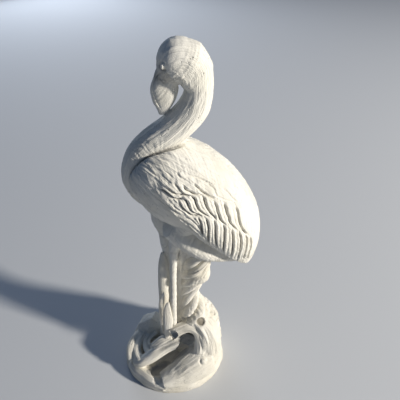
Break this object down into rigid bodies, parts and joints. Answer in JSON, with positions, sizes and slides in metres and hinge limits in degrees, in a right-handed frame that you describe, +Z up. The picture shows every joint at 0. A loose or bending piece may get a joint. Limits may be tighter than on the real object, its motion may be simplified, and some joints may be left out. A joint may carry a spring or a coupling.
{
  "type": "flamingo statue",
  "caption": "Cast-concrete garden statue of a standing flamingo with its bill lowered to its neck, on a round mound with driftwood and reeds.",
  "frame": {"origin": "middle of the flat underside", "axes": "+Z up; the bird faces -X, with its left side at -Y and its right side at +Y"},
  "size_m": [0.3212, 0.2276, 0.8391],
  "materials": {
    "bird_concrete": "matte",
    "bill_concrete": "matte",
    "eye_concrete": "matte",
    "driftwood_concrete": "matte",
    "base_concrete": "matte"
  },
  "bodies": {
    "root": {"head": "bird_concrete", "neck_upper": "bird_concrete", "neck_lower": "bird_concrete", "trunk": "bird_concrete", "tail": "bird_concrete", "wing_left": "bird_concrete", "wing_right": "bird_concrete", "leg_left": "bird_concrete", "leg_right": "bird_concrete", "bill_upper": "bill_concrete", "bill_lower": "bill_concrete", "eye_left": "eye_concrete", "eye_right": "eye_concrete", "driftwood_trunk": "driftwood_concrete", "driftwood_foot": "driftwood_concrete", "front_log": "driftwood_concrete", "curled_root": "driftwood_concrete", "reeds": "driftwood_concrete", "stone": "base_concrete", "base": "base_concrete"}
  },
  "joints": []
}
